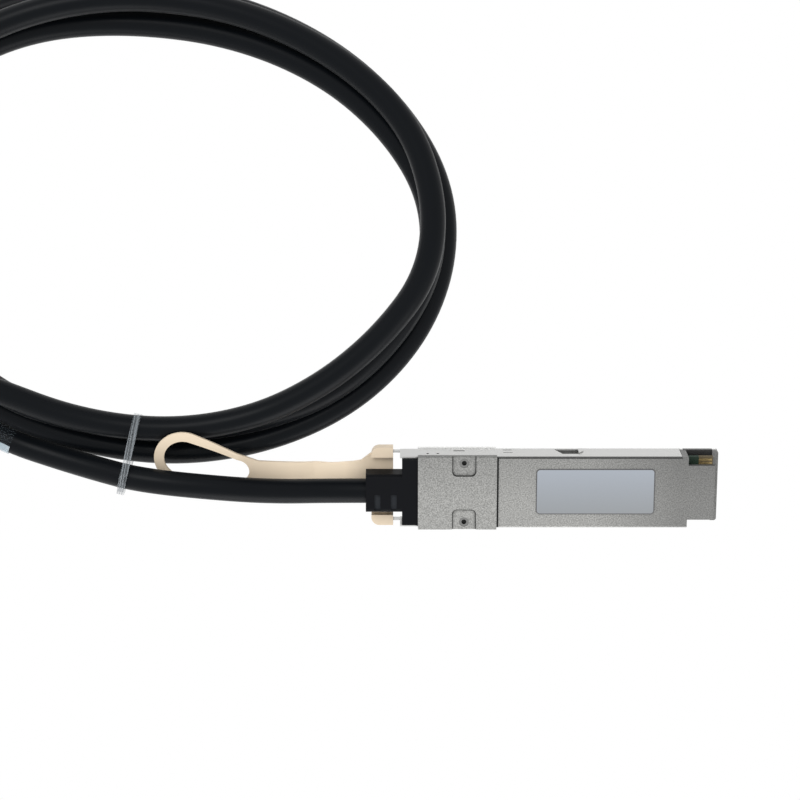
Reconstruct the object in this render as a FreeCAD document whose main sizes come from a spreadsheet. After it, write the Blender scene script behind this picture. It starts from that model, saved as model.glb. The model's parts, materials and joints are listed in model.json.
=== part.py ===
"""QSFP breakout cable: a wide plug, a coiled jacket, and four thin legs with a small plug on each.

Millimetres. The origin is on the surface that the cable lies on, under the middle of the wide plug's
rear face. +X runs to the wide plug's nose, +Z is up.
"""
import FreeCAD, Part
import math
import os
import re

from FreeCAD import Placement, Rotation, Vector

# Driving dimensions, in millimetres and degrees
SIZES = {
    # Wide plug: castings
    "rear_length": 19.3,
    "front_length": 54.8,
    "front_width": 17.9,
    "rear_width": 18.7,
    "plug_height": 8.5,
    "rear_rise": 0.25,
    "parting_height": 4.4,
    "wall": 1.2,
    "rear_wall": 2.0,
    "nose_open_length": 8.0,
    "nose_lip": 1.5,
    "nose_lip_height": 2.4,
    "nose_rail_height": 1.6,
    "nose_round": 0.6,
    "tongue_width": 13.8,
    "edge_round": 0.4,
    "seam_width": 0.45,
    "seam_depth": 0.3,
    "wire_bay_width": 11.2,
    # Wide plug: paddle card, its contacts and wires
    "contact_count": 19,
    "contact_pitch": 0.8,
    "contact_width": 0.5,
    "contact_length": 3.2,
    "contact_thick": 0.06,
    "contact_setback": 0.3,
    "card_width": 16.0,
    "card_thick": 1.0,
    "card_low": 3.1,
    "card_ledge": 0.75,
    "card_gap": 0.05,
    "card_start": 32.0,
    "wire_diameter": 1.6,
    "wire_pitch": 2.3,
    "wire_count": 4,
    # Wide plug: release arms, springs and latch windows
    "arm_thick": 0.45,
    "arm_low": 0.5,
    "arm_high": 7.4,
    "arm_tail": 4.4,
    "arm_front": 64.6,
    "arm_gap": 0.1,
    "hook_low": 1.0,
    "hook_high": 2.4,
    "hook_depth": 3.6,
    "window_start": 33.7,
    "window_length": 5.8,
    "window_low": 1.1,
    "window_height": 2.2,
    "pierce_radius": 0.35,
    "pierce_start": 2.4,
    "pierce_pitch": 2.5,
    "pierce_high": 4.8,
    "slit_start": 8.8,
    "slit_length": 2.7,
    "slit_low": 2.0,
    "slit_height": 0.6,
    "lance_start": 21.0,
    "lance_length": 2.3,
    "lance_low": 1.4,
    "lance_pitch": 2.3,
    "lance_height": 0.35,
    "pocket_depth": 0.35,
    "finger_rise": 0.3,
    "finger_length": 1.2,
    "spring_start": 20.7,
    "spring_length": 7.9,
    "spring_radius": 0.8,
    "spring_wire": 0.15,
    "spring_turns": 3,
    "spring_gap": 0.15,
    "lug_thick": 0.5,
    # Wide plug: screws, label
    "screw_x": 11.3,
    "screw_y": 7.5,
    "screw_radius": 0.7,
    "screw_head_radius": 1.2,
    "screw_head_height": 0.6,
    "screw_drive_radius": 0.6,
    "screw_drive_depth": 0.4,
    "screw_end": 1.6,
    "screw_sink": 0.1,
    "pad_length": 5.9,
    "pad_reach": 3.3,
    "pad_round": 1.2,
    "pad_sink": 0.35,
    "label_start": 29.0,
    "label_length": 28.9,
    "label_width": 11.4,
    "label_side": 0.3,
    "label_thick": 0.1,
    "label_round": 0.9,
    # Wide plug: boot
    "flange_length": 3.9,
    "flange_width": 16.7,
    "flange_low": 1.0,
    "collar_length": 8.9,
    "collar_width": 9.6,
    "collar_side": -0.4,
    "collar_low": 1.6,
    "boot_high": 8.4,
    "boot_round": 1.2,
    "neck_width": 8.0,
    "neck_low": 2.6,
    "neck_high": 7.3,
    "boot_lock_length": 1.2,
    "boot_lock_width": 10.4,
    "boot_lock_drop": 0.6,
    "boot_slot_width": 1.5,
    "boot_slot_depth": 0.8,
    "boot_slot_pitch": 4.0,
    "boot_slot_first": 2.1,
    "boot_slot_inset": 0.6,
    "boot_slot_length": 4.0,
    # Pull tab
    "tab_thick": 0.9,
    "tab_low": 0.3,
    "tab_front": 6.1,
    "shoulder_length": 5.4,
    "shoulder_width": 20.0,
    "shoulder_high": 3.1,
    "shoulder_block": 2.6,
    "shoulder_round": 2.0,
    "neck_slope_length": 2.5,
    "strap_width": 8.4,
    "strap_side": 1.6,
    "strap_lean": 3.0,
    "strap_end": 39.0,
    "ramp_start": 25.5,
    "ramp_length": 18.5,
    "loop_x": 57.0,
    "loop_side": 9.5,
    "loop_radius": 7.1,
    "loop_rim": 2.4,
    "loop_low": 7.45,
    "loop_tilt": 17.0,
    "loop_hole_x": 44.6,
    "loop_hole_side": 6.1,
    "loop_hole_radius": 3.4,
    # Main jacket and its coil
    "cable_diameter": 6.1,
    "coil_x": -62.0,
    "coil_y": 64.75,
    "coil_inner_long": 61.5,
    "coil_inner_short": 45.4,
    "coil_middle_long": 68.0,
    "coil_middle_short": 51.6,
    "coil_outer_long": 70.4,
    "coil_outer_short": 57.2,
    "coil_low_height": 6.2,
    "coil_high_height": 11.7,
    "coil_bevel": 1.9,
    "tie_x": -73.5,
    "tie_lean": 13.0,
    "tie_width": 1.8,
    "tie_thick": 0.6,
    "tie_gap": 0.6,
    "tie_tuck": 2.2,
    "tie_cable_y": 5.4,
    "tie_cable_height": 11.65,
    "marker_length": 6.2,
    "marker_start": 1.4,
    "marker_thick": 0.35,
    # Split boot and legs
    "split_x": -147.5,
    "split_y": 70.0,
    "split_length": 24.0,
    "split_width": 13.0,
    "split_height": 10.8,
    "split_round": 2.5,
    "leg_diameter": 4.2,
    "leg_turn_outer": 32.0,
    "leg_turn_inner": 21.5,
    "leg_turn_top": 27.0,
    "leg_bundle": 10.3,
    "leg_top_height": 19.2,
    "leg_coil_y": 98.0,
    "split_gap": 0.3,
    "leg_tie_width": 3.0,
    "leg_tie_thick": 0.8,
    # Small plugs
    "small_pitch": 15.0,
    "small_first_x": -204.0,
    "small_rear_y": 20.0,
    "small_length": 56.0,
    "small_width": 13.5,
    "small_height": 8.5,
    "small_parting": 5.0,
    "small_wall": 1.0,
    "small_open_length": 9.0,
    "small_lip": 1.2,
    "small_rail_height": 2.2,
    "small_card_width": 11.2,
    "small_card_low": 2.6,
    "small_card_start": 22.0,
    "small_boot_length": 12.0,
    "small_boot_width": 8.4,
    "small_boot_low": 0.9,
    "small_boot_high": 6.9,
    "small_boot_round": 1.4,
    "small_neck_width": 5.0,
    "small_neck_low": 2.0,
    "small_neck_high": 4.9,
    # Small plugs: latch lever and pull strap
    "lever_width": 5.0,
    "lever_thick": 1.0,
    "lever_start": 14.0,
    "lever_front": 32.0,
    "lever_pivot": 18.0,
    "lever_top": 8.3,
    "lever_gap": 0.2,
    "channel_low": 6.2,
    "trunnion_radius": 0.6,
    "trunnion_length": 1.2,
    "trunnion_gap": 0.05,
    "boss_length": 2.6,
    "boss_width": 2.8,
    "boss_rise": 1.0,
    "strap_thick": 1.1,
    "strap_tail": 14.0,
    "strap_grip_width": 8.0,
    "strap_grip_length": 9.0,
    "strap_rib_width": 1.0,
    "strap_rib_pitch": 2.0,
    "strap_gap": 0.3,
}

# Route of the jacket from the wide plug's boot to its coil, and from the coil to the split boot
LEAD_ROUTE = [
    (-12.8, -0.5, 5.0), (-23.0, -0.5, 5.0), (-33.2, 0.4, 8.6), (-44.5, 2.4, 13.5), (-66.5, 4.8, 13.5),
    (-78.0, 6.4, 9.4), (-89.5, 8.6, 5.2), (-100.0, 12.6, 3.4), (-112.0, 18.6, 3.1), (-121.8, 28.0, 3.1),
    (-129.0, 41.5, 3.1),
]
TAIL_ROUTE = [
    (-103.0, 26.6, 10.2), (-114.0, 31.3, 11.6), (-124.5, 35.2, 11.3), (-133.5, 39.8, 10.2),
    (-140.8, 46.3, 8.0), (-145.6, 54.4, 6.2), (-147.5, 63.5, 5.4), (-147.5, 70.0, 5.4),
]
# Route of each leg from the tied coil to its small plug
LEG_ROUTES = [
    [(-208.6, 98.0, 12.6), (-208.7, 86.0, 12.7), (-207.4, 72.0, 12.2), (-205.2, 57.5, 8.0),
     (-204.0, 44.0, 4.2), (-204.0, 32.0, 4.2)],
    [(-207.5, 90.0, 16.9), (-204.0, 78.0, 16.6), (-198.6, 67.0, 13.6), (-193.0, 56.0, 8.6),
     (-189.0, 44.0, 4.2), (-189.0, 32.0, 4.2)],
    [(-198.0, 81.3, 12.6), (-190.5, 73.0, 12.7), (-183.0, 64.5, 11.6), (-177.0, 54.5, 7.6),
     (-174.0, 43.5, 4.2), (-174.0, 32.0, 4.2)],
    [(-192.0, 76.4, 16.9), (-181.5, 70.5, 16.4), (-171.5, 63.5, 13.0), (-163.5, 54.5, 8.2),
     (-159.0, 43.5, 4.2), (-159.0, 32.0, 4.2)],
]

doc = FreeCAD.newDocument("QsfpBreakoutCable")
sheet = doc.addObject("Spreadsheet::Sheet", "Sizes")
for row, (alias, value) in enumerate(SIZES.items(), start=1):
    sheet.set(f"A{row}", alias)
    sheet.set(f"B{row}", str(value))
    sheet.setAlias(f"B{row}", alias)
doc.recompute()

WORD = re.compile(r"[a-z][a-z_]*[a-z]")
sub_parts = []


def size(alias):
    """A driving dimension as a number."""
    return float(sheet.get(alias))


def bind(item, prop, formula):
    """Tie a property to a formula in the sheet's words."""
    item.setExpression(prop, WORD.sub(lambda word: f"Sizes.{word[0]}", formula))


def bind_place(item, x, y, z):
    for axis, formula in zip("xyz", (x, y, z)):
        bind(item, f"Placement.Base.{axis}", formula)


def block(name, x, y, z):
    """A box from pairs of formulas: lowest and highest X, Y and Z."""
    item = doc.addObject("Part::Box", name)
    for prop, (low, high) in zip(("Length", "Width", "Height"), (x, y, z)):
        bind(item, prop, f"({high}) - ({low})")
    bind_place(item, x[0], y[0], z[0])
    return item


def across(name, x, width, z):
    """A box that is centred on the plug's middle plane."""
    return block(name, x, (f"-({width}) / 2", f"({width}) / 2"), z)


def rod(name, radius, height, place, turn=None):
    """A cylinder; turn is the rotation that brings its +Z axis round."""
    item = doc.addObject("Part::Cylinder", name)
    bind(item, "Radius", radius)
    bind(item, "Height", height)
    if turn:
        item.Placement = Placement(Vector(), turn)
    bind_place(item, *place)
    return item


def join(name, *items):
    item = doc.addObject("Part::MultiFuse", name)
    item.Shapes = list(items)
    item.Refine = True
    return item


def cut(name, base, *tools):
    item = doc.addObject("Part::Cut", name)
    item.Base = base
    item.Tool = tools[0] if len(tools) == 1 else join(f"{name}_tools", *tools)
    item.Refine = True
    return item


def rounded(name, base, radius, pick):
    """Round the edges that pick chooses, with a radius from the sheet."""
    doc.recompute()
    item = doc.addObject("Part::Fillet", name)
    item.Base = base
    edges = enumerate(base.Shape.Edges, start=1)
    item.Edges = [(number, size(radius), size(radius)) for number, edge in edges if pick(edge)]
    return item


def feature(name, shape, place=None):
    item = doc.addObject("Part::Feature", name)
    item.Shape = shape
    if place:
        item.Placement = place
    return item


def sub_part(item, node):
    item.Label = node
    sub_parts.append(item)
    return item


def along(edge, axis):
    """True for a straight edge along one axis, given as 0, 1 or 2."""
    if not isinstance(edge.Curve, Part.Line):
        return False
    return abs(abs(edge.tangentAt(edge.FirstParameter)[axis]) - 1) < 1e-6


def middle(edge):
    return edge.CenterOfMass


def outermost(edge, axis, reach):
    """True where the edge's middle lies at plus or minus reach on one axis."""
    return abs(abs(middle(edge)[axis]) - reach) < 1e-3


# Shared formulas of the wide plug
STEP_X = "rear_length"
NOSE_X = "rear_length + front_length"
OPEN_X = f"{NOSE_X} - nose_open_length"
LIP_X = f"{NOSE_X} - nose_lip"
ARM_OUT = "front_width / 2"
ARM_IN = "front_width / 2 - arm_thick"
RECESS_IN = f"{ARM_IN} - arm_gap"
BAY_END = "card_start - card_gap"
SPRING_Y = f"{ARM_IN} - spring_radius - spring_wire - spring_gap"
SPRING_Z = "(arm_low + arm_high) / 2"
SPRING_CLEAR = "(spring_radius + spring_wire + spring_gap)"


def both_sides(name, x, y, z):
    """The same box on both narrow sides, with Y given for the +Y side."""
    near = block(f"{name}_near", x, y, z)
    far = block(f"{name}_far", x, (f"-({y[1]})", f"-({y[0]})"), z)
    return [near, far]


def side_cuts(name):
    """What both castings lose on their narrow sides: arm recess, latch pocket and spring pocket."""
    outside = "rear_width / 2 + wall"
    recess = both_sides(
        f"{name}_recess", ("-wall", "arm_front + arm_gap"), (RECESS_IN, outside),
        ("arm_low - arm_gap", "arm_high + arm_gap"))
    pocket = both_sides(
        f"{name}_pocket", ("window_start", "window_start + window_length"),
        (f"{RECESS_IN} - pocket_depth", outside),
        ("window_low", "window_low + window_height"))
    spring = both_sides(
        f"{name}_spring", ("spring_start", "spring_start + spring_length + lug_thick + arm_gap"),
        (f"{SPRING_Y} - {SPRING_CLEAR}", outside),
        (f"{SPRING_Z} - {SPRING_CLEAR}", f"{SPRING_Z} + {SPRING_CLEAR}"))
    return recess + pocket + spring


def screw_holes(name, radius, low, high):
    return [rod(f"{name}_{side}", radius, f"({high}) - ({low})", ("screw_x", f"{sign}screw_y", low))
            for side, sign in (("near", ""), ("far", "-"))]


def boot_way(name):
    return across(name, ("-wall", "rear_wall"), "neck_width", ("neck_low", "neck_high"))


def wide_lower():
    """Lower casting: a tray with card ledges, open at the nose."""
    low, top = "0", "parting_height"
    front = across("lower_front", (STEP_X, NOSE_X), "front_width", (low, top))
    rear = across("lower_rear", ("0", STEP_X), "rear_width", (low, top))
    tray = join("lower_tray", front, rear)
    bay = across("lower_bay", ("rear_wall", BAY_END), "wire_bay_width", ("wall", "parting_height + wall"))
    card_bay = across("lower_card_bay", (BAY_END, LIP_X), "card_width + 2 * card_gap",
                      ("card_low", "parting_height + wall"))
    under = across("lower_under", (BAY_END, LIP_X), "card_width - 2 * card_ledge",
                   ("wall", "card_low + wall"))
    nose = across("lower_nose", (OPEN_X, LIP_X), "rear_width + wall",
                  ("nose_rail_height", "parting_height + wall"))
    lip = across("lower_lip", (LIP_X, f"{NOSE_X} + wall"), "rear_width + wall",
                 ("nose_lip_height", "parting_height + wall"))
    holes = screw_holes("lower_hole", "screw_radius", "screw_end", "parting_height + wall")
    shell = cut("lower_shell", tray, bay, card_bay, under, nose, lip, boot_way("lower_way"),
                *side_cuts("lower"), *holes)
    nose_x = size("rear_length") + size("front_length")
    return rounded("lower_round", shell, "nose_round",
                   lambda edge: along(edge, 2) and abs(middle(edge).x - nose_x) < 1e-3)


def wide_upper():
    """Upper casting: a lid with a tongue over the card's edge."""
    low, top = "parting_height", "plug_height"
    front = across("upper_front", (STEP_X, OPEN_X), "front_width", (low, top))
    rear = across("upper_rear", ("0", STEP_X), "rear_width", (low, "plug_height + rear_rise"))
    tongue = across("upper_tongue", (f"{OPEN_X} - wall", LIP_X), "tongue_width", ("plug_height - wall", top))
    lid = join("upper_lid", front, rear, tongue)
    roof = "plug_height - wall"
    bay = across("upper_bay", ("rear_wall", BAY_END), "wire_bay_width", ("parting_height - wall", roof))
    card_bay = across("upper_card_bay", (BAY_END, LIP_X), "card_width + 2 * card_gap",
                      ("parting_height - wall", roof))
    sunk_top = "plug_height + rear_rise - pad_sink"
    pad_in = size("screw_y") - size("pad_reach")
    pads = [rounded(f"{pad.Name}_soft", pad, "pad_round",
                    lambda edge: along(edge, 2) and outermost(edge, 1, pad_in))
            for pad in both_sides("upper_pad", ("screw_x - pad_length / 2", "screw_x + pad_length / 2"),
                                  ("screw_y - pad_reach", "rear_width / 2 + wall"),
                                  (sunk_top, f"{sunk_top} + wall"))]
    holes = screw_holes("upper_hole", "screw_radius", "parting_height - wall", "plug_height + wall")
    head_low = f"{sunk_top} - screw_head_height - screw_sink"
    holes += screw_holes("upper_sink", "screw_head_radius", head_low, "plug_height + wall")
    seam = across("upper_seam", (STEP_X, f"{STEP_X} + seam_width"), "rear_width + wall",
                  ("plug_height - seam_depth", "plug_height + wall"))
    shell = cut("upper_shell", lid, bay, card_bay, seam, boot_way("upper_way"), *side_cuts("upper"), *pads,
                *holes)
    high = size("plug_height")
    half = size("front_width") / 2

    def long_top_edge(edge):
        return along(edge, 0) and abs(middle(edge).z - high) < 1e-3 and outermost(edge, 1, half)

    return rounded("upper_round", shell, "edge_round", long_top_edge)


def wide_screws():
    top = "plug_height + rear_rise - pad_sink - screw_sink"
    shanks = screw_holes("screw_shank", "screw_radius", "screw_end", f"{top} - screw_head_height")
    heads = screw_holes("screw_head", "screw_head_radius", f"{top} - screw_head_height", top)
    drives = screw_holes("screw_drive", "screw_drive_radius", f"{top} - screw_drive_depth", f"{top} + wall")
    return cut("screws", join("screw_blanks", *shanks, *heads), *drives)


def wide_card():
    return across("card", ("card_start", LIP_X), "card_width", ("card_low", "card_low + card_thick"))


def wide_contacts():
    """Contact pads on both faces of the card, near its front edge."""
    x = (f"{LIP_X} - contact_setback - contact_length", f"{LIP_X} - contact_setback")
    card_top = "card_low + card_thick"
    pads = []
    for number in range(int(size("contact_count"))):
        side = f"({number} - (contact_count - 1) / 2) * contact_pitch"
        y = (f"{side} - contact_width / 2", f"{side} + contact_width / 2")
        pads.append(block(f"contact_top_{number}", x, y, (card_top, f"{card_top} + contact_thick")))
        pads.append(block(f"contact_low_{number}", x, y, ("card_low - contact_thick", "card_low")))
    return join("contacts", *pads)


def wide_wires():
    """Bundles from the boot to the card's rear edge, one for each leg, in one flat row."""
    start = "rear_wall + boot_lock_length"
    wires = []
    for number in range(int(size("wire_count"))):
        side = f"({number} - (wire_count - 1) / 2) * wire_pitch"
        wires.append(rod(f"wire_{number}", "wire_diameter / 2", f"card_start - ({start})",
                         (start, side, "card_low + card_thick / 2"), Rotation(Vector(0, 1, 0), 90)))
    return join("wires", *wires)


def release_arm(name, sign):
    """Stamped arm: hook at the rear, spring lug, pierced marks, latch window and a raised finger."""
    z_mid = SPRING_Z

    def piece(part, x, y, z):
        sides = y if sign > 0 else (f"-({y[1]})", f"-({y[0]})")
        return block(f"{name}_{part}", x, sides, z)

    strip = piece("strip", ("-arm_tail", "arm_front"), (ARM_IN, ARM_OUT), ("arm_low", "arm_high"))
    hook = piece("hook", ("-tab_front - hook_depth", "-arm_tail"), (ARM_IN, ARM_OUT),
                 ("hook_low", "hook_high"))
    heel = piece("heel", ("-arm_tail", "-arm_tail + hook_depth"), (ARM_IN, ARM_OUT),
                 ("hook_low", "arm_high"))
    lug_x = "spring_start + spring_length"
    lug = piece("lug", (lug_x, f"{lug_x} + lug_thick"),
                (f"{SPRING_Y} - spring_radius - spring_wire", ARM_OUT),
                (f"{z_mid} - spring_radius - spring_wire", f"{z_mid} + spring_radius + spring_wire"))
    window_end = "window_start + window_length"
    window_z = ("window_low", "window_low + window_height")
    finger = piece("finger", (window_end, f"{window_end} + finger_length"),
                   (ARM_IN, f"{ARM_OUT} + finger_rise"), window_z)
    solid = join(f"{name}_solid", strip, hook, heel, lug, finger)
    through = (f"{ARM_IN} - wall", f"{ARM_OUT} + wall")
    openings = [piece("window", ("window_start", window_end), through, window_z),
                piece("slit", ("slit_start", "slit_start + slit_length"), through,
                      ("slit_low", "slit_low + slit_height"))]
    for number in (0, 1):
        low = f"lance_low + {number} * lance_pitch"
        openings.append(piece(f"lance_{number}", ("lance_start", "lance_start + lance_length"), through,
                              (low, f"{low} + lance_height")))
        start = f"pierce_start + {number} * pierce_pitch"
        openings.append(rod(f"{name}_pierce_{number}", "pierce_radius", "arm_thick + 2 * wall",
                            (start, through[1] if sign > 0 else f"-({through[0]})", "pierce_high"),
                            Rotation(Vector(1, 0, 0), 90)))
    return cut(name, solid, *openings)


def return_spring(name, sign):
    """Compression spring between the casting's pocket and the arm's lug."""
    radius = size("spring_radius")
    wire = size("spring_wire")
    length = size("spring_length") - 2 * wire
    helix = Part.makeHelix(length / size("spring_turns"), length, radius)
    corners = [Vector(radius + x * wire, 0, z * wire) for x, z in ((1, 0), (0, 1), (-1, 0), (0, -1), (1, 0))]
    profile = Part.makePolygon(corners)
    coil = Part.Wire(helix).makePipeShell([profile], True, True)
    y = size("front_width") / 2 - size("arm_thick") - radius - wire - size("spring_gap")
    z = (size("arm_low") + size("arm_high")) / 2
    place = Placement(Vector(size("spring_start") + wire, sign * y, z), Rotation(Vector(0, 1, 0), 90))
    return feature(name, coil, place)


def wide_boot():
    """Moulded boot: flange and collar outside, a neck and a locking flange inside the castings."""
    tail = "-flange_length - collar_length"
    collar_edge = "collar_side - collar_width / 2"
    collar = block("boot_collar", (tail, "-flange_length"), (collar_edge, f"{collar_edge} + collar_width"),
                   ("collar_low", "boot_high"))
    flange = across("boot_flange", ("-flange_length", "0"), "flange_width", ("flange_low", "boot_high"))
    body = join("boot_body", collar, flange)
    tail_x = -size("flange_length") - size("collar_length") / 2
    soft = rounded("boot_soft", body, "boot_round",
                   lambda edge: along(edge, 0) and abs(middle(edge).x - tail_x) < size("collar_length") / 4)
    slots = []
    for number in (0, 1):
        start = f"{tail} + boot_slot_first + {number} * boot_slot_pitch"
        slots.append(block(f"boot_slot_{number}", (start, f"{start} + boot_slot_width"),
                           (f"{collar_edge} + boot_slot_inset",
                            f"{collar_edge} + boot_slot_inset + boot_slot_length"),
                           ("boot_high - boot_slot_depth", "boot_high + wall")))
    neck = across("boot_neck", ("0", "rear_wall"), "neck_width", ("neck_low", "neck_high"))
    lock = across("boot_lock", ("rear_wall", "rear_wall + boot_lock_length"), "boot_lock_width",
                  ("neck_low - boot_lock_drop", "neck_high"))
    return join("boot", cut("boot_ribbed", soft, *slots), neck, lock)


def wide_label():
    plate = block("label_plate", ("label_start", "label_start + label_length"),
                  ("label_side - label_width / 2", "label_side + label_width / 2"),
                  ("plug_height", "plug_height + label_thick"))
    return rounded("label", plate, "label_round", lambda edge: along(edge, 2))


def tangent_point(point, centre, radius, side):
    """Where a line from point touches a circle, on the side given by +1 or -1."""
    gap = centre - point
    turn = side * math.degrees(math.asin(radius / gap.Length))
    reach = math.sqrt(gap.Length ** 2 - radius ** 2)
    direction = Rotation(Vector(0, 0, 1), turn).multVec(gap.normalize())
    return point + direction * reach


def prism(points, low, high):
    face = Part.Face(Part.makePolygon(points + points[:1]))
    face.translate(Vector(0, 0, low))
    return face.extrude(Vector(0, 0, high - low))


def raised(edges, low, high):
    """A closed outline made a solid from one height to another."""
    face = Part.Face(Part.Wire([edge.toShape() for edge in edges]))
    face.translate(Vector(0, 0, low))
    return face.extrude(Vector(0, 0, high - low))


def teardrop(centre, radius, upper, lower, low, high):
    """A round end joined by tangent sides to two points."""
    touch_upper = tangent_point(upper, centre, radius, -1)
    touch_lower = tangent_point(lower, centre, radius, 1)
    tip = centre + Vector(-radius, 0, 0)
    return raised([Part.LineSegment(lower, touch_lower), Part.Arc(touch_lower, tip, touch_upper),
                   Part.LineSegment(touch_upper, upper), Part.LineSegment(upper, lower)], low, high)


def tapered_slot(wide, wide_radius, narrow, narrow_radius, low, high):
    """Two round ends of different size with tangent sides."""
    run = narrow - wide
    turn = math.degrees(math.acos((wide_radius - narrow_radius) / run.Length))
    ahead = Vector(run).normalize()
    sides = [Rotation(Vector(0, 0, 1), sign * turn).multVec(ahead) for sign in (1, -1)]
    wide_ends = [wide + side * wide_radius for side in sides]
    narrow_ends = [narrow + side * narrow_radius for side in sides]
    return raised([Part.Arc(wide_ends[0], wide - ahead * wide_radius, wide_ends[1]),
                   Part.LineSegment(wide_ends[1], narrow_ends[1]),
                   Part.Arc(narrow_ends[1], narrow + ahead * narrow_radius, narrow_ends[0]),
                   Part.LineSegment(narrow_ends[0], wide_ends[0])], low, high)


def tab_profile(y):
    """The tab's side outline at one Y: flat at the shoulders, then a ramp up to the tilted loop."""
    thick = size("tab_thick")
    foot = size("tab_low")
    top = size("loop_low") + math.tan(math.radians(size("loop_tilt"))) * y
    front = -size("tab_front")
    ramp_low = -size("ramp_start")
    ramp_high = ramp_low - size("ramp_length")
    end = -size("loop_x") - 2 * size("loop_radius")
    under = [(front, foot), (ramp_low, foot), (ramp_high, top), (end, top)]
    over = [(x, z + thick) for x, z in reversed(under)]
    points = [Vector(x, y, z) for x, z in under + over]
    return Part.makePolygon(points + points[:1])


def pull_tab(arms):
    """Beige tab: shoulders that hold both arms' hooks, a strap that climbs, and a tilted loop."""
    low = 0.0
    high = size("loop_low") + size("shoulder_width")
    front = -size("tab_front")
    rear = front - size("shoulder_length")
    strap_start = rear - size("neck_slope_length")
    strap_end = -size("strap_end")
    half = size("shoulder_width") / 2
    strap_low = size("strap_side") - size("strap_width") / 2
    strap_high = strap_low + size("strap_width")
    lean = size("strap_lean")
    shoulders = prism([Vector(front, -half), Vector(front, half), Vector(rear, half), Vector(rear, -half)],
                      low, high)
    corners = [edge for edge in shoulders.Edges if along(edge, 2) and abs(middle(edge).x - rear) < 1e-6]
    shoulders = shoulders.makeFillet(size("shoulder_round"), corners)
    inside = rear + size("shoulder_round")
    end_high = Vector(strap_end, strap_high + lean)
    end_low = Vector(strap_end, strap_low + lean)
    strap = prism([Vector(inside, half), Vector(strap_start, strap_high), end_high, end_low,
                   Vector(strap_start, strap_low), Vector(inside, strap_low)], low, high)
    centre = Vector(-size("loop_x"), size("loop_side"))
    loop = teardrop(centre, size("loop_radius"), end_high, end_low, low, high)
    narrow = Vector(-size("loop_hole_x"), size("loop_hole_side"))
    hole = tapered_slot(centre, size("loop_radius") - size("loop_rim"), narrow, size("loop_hole_radius"),
                        low, high)
    plan = shoulders.fuse([strap, loop]).cut(hole)
    bent = Part.makeLoft([tab_profile(sign * size("shoulder_width")) for sign in (-1, 1)], True, True)
    foot = size("tab_low")
    blocks = shoulders.common(Part.makeBox(
        size("shoulder_length"), 2 * half, size("shoulder_high") - foot, Vector(rear, -half, foot)))
    core = Part.makeBox(size("shoulder_length"), 2 * (half - size("shoulder_block")), size("shoulder_high"),
                        Vector(rear, -half + size("shoulder_block"), foot + size("tab_thick")))
    tab = plan.common(bent).fuse(blocks.cut(core))
    tab = tab.cut([arm.Shape for arm in arms]).removeSplitter()
    return feature("pull_tab", tab)


def rounded_path(points, name):
    """Straight runs joined by tangent arcs, each as large as its two runs allow."""
    corners = []
    for before, here, after in zip(points, points[1:], points[2:]):
        run_in = here - before
        run_out = after - here
        turn = run_in.getAngle(run_out)
        reach = 0.45 * min(run_in.Length, run_out.Length)
        corners.append((here, reach, turn, reach / math.tan(turn / 2)))
    print(name, "radii", [round(corner[3], 1) for corner in corners])
    edges = []
    start = points[0]
    for (here, reach, turn, radius), before, after in zip(corners, points, points[2:]):
        enter = here + (before - here).normalize() * reach
        leave = here + (after - here).normalize() * reach
        inward = ((before - here).normalize() + (after - here).normalize()).normalize()
        peak = here + inward * (radius / math.cos(turn / 2) - radius)
        edges.append(Part.LineSegment(start, enter).toShape())
        edges.append(Part.Arc(enter, peak, leave).toShape())
        start = leave
    edges.append(Part.LineSegment(start, points[-1]).toShape())
    return Part.Wire(edges)


def tube(name, route, diameter):
    """A round cord along its route; its volume is compared with section times length."""
    points = [Vector(*point) for point in route]
    path = rounded_path(points, name)
    profile = Part.Wire(Part.makeCircle(diameter / 2, points[0], points[1] - points[0]))
    solid = path.makePipeShell([profile], True, False)
    expected = math.pi * diameter ** 2 / 4 * path.Length
    print(name, "length", round(path.Length, 1), "volume ratio", round(solid.Volume / expected, 4))
    return feature(name, solid)


def oval(name, long, short, low, high):
    """An upright oval column at the coil's centre."""
    outline = doc.addObject("Part::Ellipse", f"{name}_outline")
    bind(outline, "MajorRadius", long)
    bind(outline, "MinorRadius", short)
    bind_place(outline, "coil_x", "coil_y", low)
    column = doc.addObject("Part::Extrusion", name)
    column.Base = outline
    column.DirMode = "Custom"
    column.Dir = Vector(0, 0, 1)
    column.Solid = True
    bind(column, "LengthFwd", f"({high}) - ({low})")
    return column


def main_coil(tie):
    """Outer shape of the jacket's turns: two layers inside, one layer outside, with a seat for the tie."""
    outer = oval("coil_outer", "coil_outer_long", "coil_outer_short", "0", "coil_low_height")
    crown = oval("coil_crown", "coil_middle_long", "coil_middle_short", "0", "coil_high_height")
    hole = oval("coil_hole", "coil_inner_long", "coil_inner_short", "-wall", "coil_high_height + wall")
    ring = cut("coil_ring", join("coil_stack", outer, crown), hole)
    doc.recompute()
    bevel = size("coil_bevel")
    reach = size("coil_x") + size("coil_outer_long")

    def upper_rim(edge):
        box = edge.BoundBox
        on_crown = abs(box.ZMin - size("coil_high_height")) < 1e-3
        on_outer = abs(box.ZMin - size("coil_low_height")) < 1e-3 and box.XMax > reach - 1e-3
        return on_crown or on_outer

    soft = doc.addObject("Part::Chamfer", "coil_soft")
    soft.Base = ring
    soft.Edges = [(number, bevel, bevel) for number, edge in enumerate(ring.Shape.Edges, start=1)
                  if upper_rim(edge)]
    return cut("coil_seated", soft, tie)


def corner_points(y, z, reach, angles):
    """Corners of a strap that bends round a cord."""
    return [Vector(0, y + reach * math.cos(math.radians(angle)), z + reach * math.sin(math.radians(angle)))
            for angle in angles]


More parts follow.
